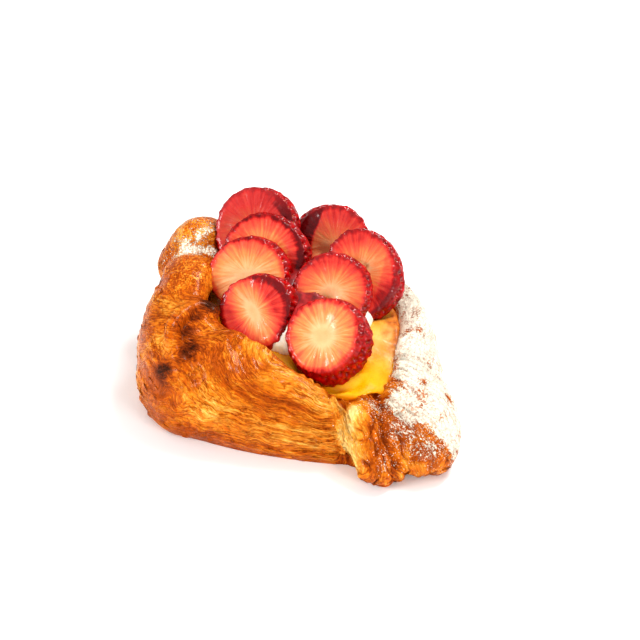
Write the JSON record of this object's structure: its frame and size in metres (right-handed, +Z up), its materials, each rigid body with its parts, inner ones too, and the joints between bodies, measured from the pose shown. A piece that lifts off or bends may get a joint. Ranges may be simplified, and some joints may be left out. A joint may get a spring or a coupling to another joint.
{
  "type": "strawberry danish pastry",
  "caption": "Diamond-folded laminated danish with crossed corners, custard and whipped cream, topped with two shingled rows of thick strawberry slices.",
  "frame": {"origin": "on the table under the centre of the pastry's bounding box", "axes": "+Z up, -Y towards the low near side that shows the filling, +X towards the corner with the two-lobed knob"},
  "size_m": [0.1174, 0.1104, 0.0591],
  "materials": {
    "crust": "golden-brown baked laminated dough with an egg-wash sheen and patches of icing sugar",
    "custard": "smooth glossy yellow custard",
    "cream": "soft satin whipped cream",
    "strawberry": "wet cut strawberry under clear glaze, pale and radial at the core, seeded red skin"
  },
  "bodies": {
    "root": {"pastry_dough": "crust", "custard": "custard", "whipped_cream": "cream", "strawberry_left_1": "strawberry", "strawberry_left_2": "strawberry", "strawberry_left_3": "strawberry", "strawberry_left_4": "strawberry", "strawberry_right_1": "strawberry", "strawberry_right_2": "strawberry", "strawberry_right_3": "strawberry", "strawberry_right_4": "strawberry"}
  },
  "joints": []
}
